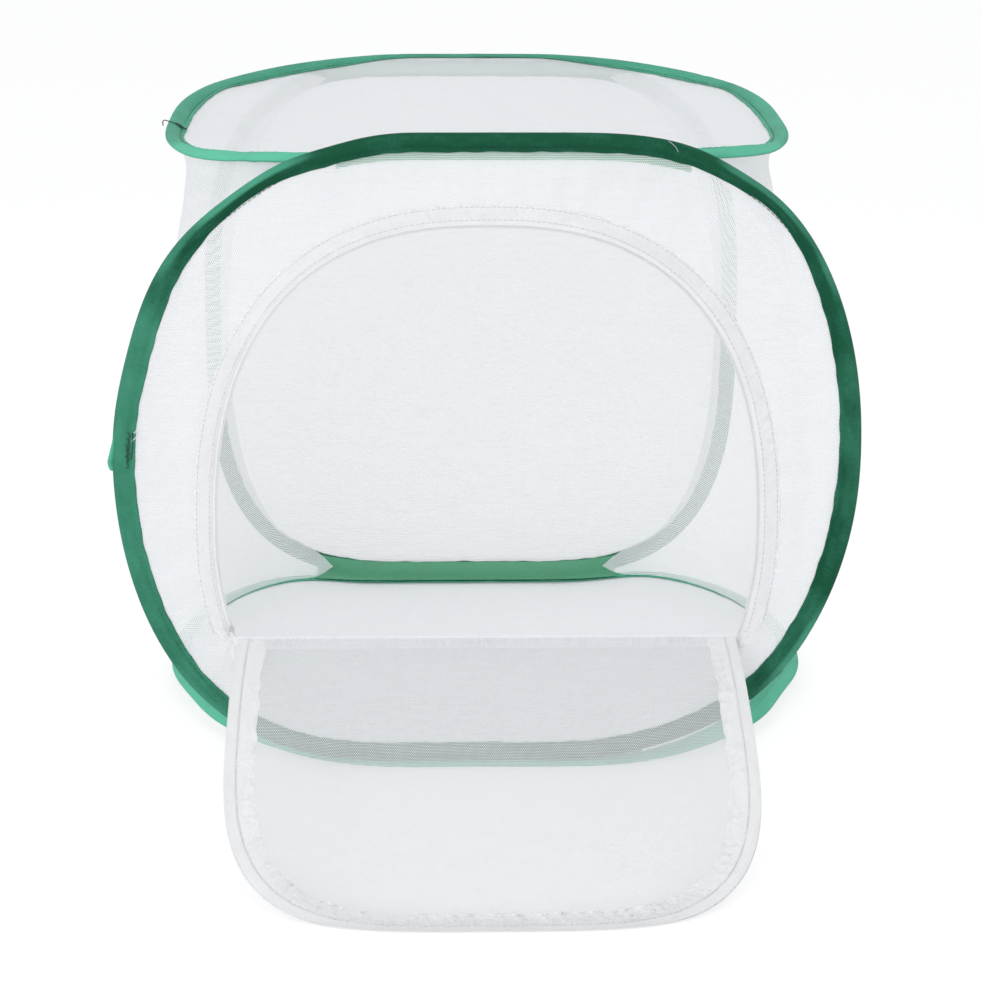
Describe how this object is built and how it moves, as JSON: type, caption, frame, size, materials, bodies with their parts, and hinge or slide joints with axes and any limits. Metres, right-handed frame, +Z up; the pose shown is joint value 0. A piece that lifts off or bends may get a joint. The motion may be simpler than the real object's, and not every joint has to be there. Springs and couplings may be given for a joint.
{
  "type": "insect cage",
  "caption": "Pop-up insect cage: white mesh walls on sprung hoops in green binding, with a zipped door flap folded down at the front.",
  "frame": {"origin": "middle of the floor panel's underside, on the ground", "axes": "+X across the door to the right of a viewer who faces it, +Y from the door to the back wall, +Z up"},
  "size_m": [0.4291, 0.6114, 0.3755],
  "materials": {
    "binding_fabric": "woven polyester tape, slight sheen",
    "joining_fabric": "woven polyester tape, matt",
    "mesh_fabric": "fine woven polyester insect mesh",
    "hem_fabric": "plain white seam tape",
    "zip_tape": "woven zip tape",
    "zip_plastic": "white moulded nylon",
    "slider_metal": "white paint on a die casting",
    "spring_steel": "flat spring wire, hidden in the binding",
    "ferrule_steel": "crimped sleeve, hidden in the binding"
  },
  "bodies": {
    "base": {"base_binding": "binding_fabric", "base_hoop_wire": "spring_steel", "base_hoop_ferrule": "ferrule_steel", "base_panel": "mesh_fabric", "left_wall": "mesh_fabric", "right_wall": "mesh_fabric", "front_base_joining_strip": "joining_fabric", "back_base_joining_strip": "joining_fabric"},
    "front": {"front_binding": "binding_fabric", "front_hoop_wire": "spring_steel", "front_hoop_ferrule": "ferrule_steel", "front_panel": "mesh_fabric", "frame_hem": "hem_fabric", "frame_zip_tape": "zip_tape", "frame_zip_coil": "zip_plastic", "frame_zip_stop": "zip_plastic", "zip_tail_tape": "zip_tape", "zip_tail_coil": "zip_plastic", "binding_tape_end": "joining_fabric"},
    "back": {"back_binding": "binding_fabric", "back_hoop_wire": "spring_steel", "back_hoop_ferrule": "ferrule_steel", "back_panel": "mesh_fabric"},
    "top": {"top_binding": "binding_fabric", "top_hoop_wire": "spring_steel", "top_hoop_ferrule": "ferrule_steel", "top_panel": "mesh_fabric", "front_top_joining_strip": "joining_fabric", "back_top_joining_strip": "joining_fabric"},
    "door": {"door_panel": "mesh_fabric", "door_hem": "hem_fabric", "door_zip_tape": "zip_tape", "door_zip_coil": "zip_plastic", "door_zip_stop": "zip_plastic"},
    "slider": {"zip_slider": "slider_metal"},
    "pull": {"zip_pull": "slider_metal"}
  },
  "joints": [
    {"name": "fold_front", "type": "hinge", "parent": "base", "child": "front", "pos_m": [0, -0.186, 0.0045], "axis": [-1, 0, 0], "range_deg": [0, 79], "stiffness_Nm_per_rad": 1, "springref_deg": -34.38, "deforming": ["left_wall", "right_wall", "front_base_joining_strip"]},
    {"name": "fold_back", "type": "hinge", "parent": "base", "child": "back", "pos_m": [0, 0.19, 0.004], "axis": [-1, 0, 0], "range_deg": [0, 79], "deforming": ["back_base_joining_strip"]},
    {"name": "fold_top", "type": "hinge", "parent": "front", "child": "top", "pos_m": [0, -0.19, 0.3715], "axis": [-1, 0, 0], "range_deg": [-79, 0], "deforming": ["front_top_joining_strip", "back_top_joining_strip"]},
    {"name": "door", "type": "hinge", "parent": "front", "child": "door", "pos_m": [0, -0.188, 0.0805], "axis": [-1, 0, 0], "range_deg": [0, 108.5]},
    {"name": "zip_slide", "type": "slide", "parent": "front", "child": "slider", "axis": [0, 0, 1], "range_m": [0, 0.009]},
    {"name": "zip_pull", "type": "hinge", "parent": "slider", "child": "pull", "pos_m": [0.144, -0.19185, 0.0585], "axis": [-1, 0, 0], "range_deg": [0, 95]}
  ],
  "couplings": [
    {"joint": "fold_back", "follows": "fold_front", "ratio": 1},
    {"joint": "fold_top", "follows": "fold_front", "ratio": -1}
  ]
}
